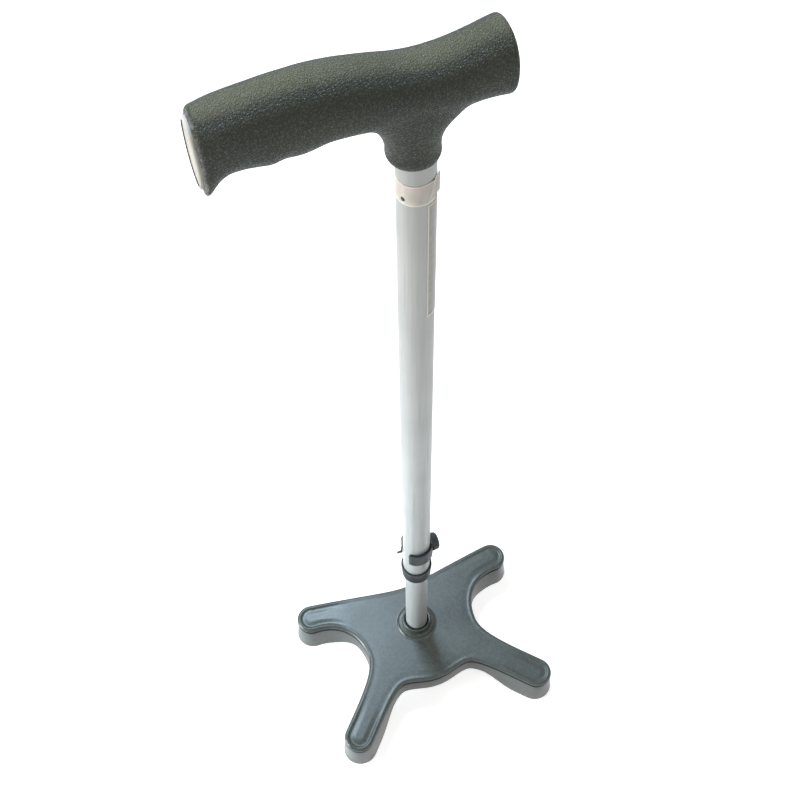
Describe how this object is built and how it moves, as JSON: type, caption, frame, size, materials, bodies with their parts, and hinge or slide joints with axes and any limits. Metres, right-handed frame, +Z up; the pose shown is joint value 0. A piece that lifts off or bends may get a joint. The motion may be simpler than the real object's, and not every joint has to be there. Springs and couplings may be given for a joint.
{
  "type": "quad walking cane",
  "caption": "Height-adjustable walking cane: moulded T handle on a two-part aluminium tube, with a spring clip lock, on a broad moulded base with rubber-padded feet.",
  "frame": {"origin": "on the floor, under the middle of the box round the whole cane at its lowest height", "axes": "+Z up along the tube, +X the way the handle's nose points, +Y towards the base's straight side, which faces the user's leg"},
  "size_m": [0.2154, 0.1494, 0.7],
  "materials": {
    "base_plastic": "blue-grey moulded plastic, satin",
    "grip_plastic": "dark grey-green, fine leather grain",
    "clip_plastic": "black moulded nylon, satin",
    "tube_aluminium": "satin anodised",
    "pad_rubber": "dark grey rubber, matte",
    "fastener_steel": "zinc-plated",
    "inner_nylon": "natural moulded nylon",
    "cap_plastic": "off-white moulded plastic",
    "tape_film": "whitish film, wrinkled, blank",
    "label_film": "pale film, blank"
  },
  "bodies": {
    "base": {"base_cover": "base_plastic", "base_body": "base_plastic", "foot_pad_front_inner": "pad_rubber", "foot_pad_front_outer": "pad_rubber", "foot_pad_rear_inner": "pad_rubber", "foot_pad_rear_outer": "pad_rubber", "cover_screw_front_inner": "fastener_steel", "cover_screw_front_outer": "fastener_steel", "cover_screw_rear_inner": "fastener_steel", "cover_screw_rear_outer": "fastener_steel", "tube_socket": "base_plastic", "lower_tube": "tube_aluminium", "lower_tube_plug": "inner_nylon", "base_washer": "fastener_steel", "base_bolt": "fastener_steel", "glide_plug": "inner_nylon"},
    "upper": {"upper_tube": "tube_aluminium", "end_bush": "clip_plastic", "tape_band": "tape_film", "label_strip": "label_film", "handle_pin": "fastener_steel", "handle_grip": "grip_plastic", "handle_core": "inner_nylon", "handle_end_cap": "cap_plastic"},
    "clip": {"clip_body": "clip_plastic", "lock_pin": "fastener_steel"},
    "clip_arm_front": {"clip_arm_front": "clip_plastic"},
    "clip_arm_rear": {"clip_arm_rear": "clip_plastic"}
  },
  "joints": [
    {"name": "height_adjust", "type": "slide", "parent": "base", "child": "upper", "axis": [0, 0, 1], "range_m": [0, 0.24]},
    {"name": "clip_pull", "type": "slide", "parent": "upper", "child": "clip", "axis": [1, 0, 0], "range_m": [0, 0.0036], "stiffness_N_per_m": 400},
    {"name": "clip_arm_front_flex", "type": "hinge", "parent": "clip", "child": "clip_arm_front", "pos_m": [0.0134, 0.01536, 0.1869], "axis": [0, 0, 1], "range_deg": [0, 18]},
    {"name": "clip_arm_rear_flex", "type": "hinge", "parent": "clip", "child": "clip_arm_rear", "pos_m": [0.0134, 0.02927, 0.1869], "axis": [0, 0, 1], "range_deg": [-18, 0]}
  ],
  "couplings": [
    {"joint": "clip_arm_front_flex", "follows": "clip_pull", "rad_per_m": 80},
    {"joint": "clip_arm_rear_flex", "follows": "clip_pull", "rad_per_m": -80}
  ]
}
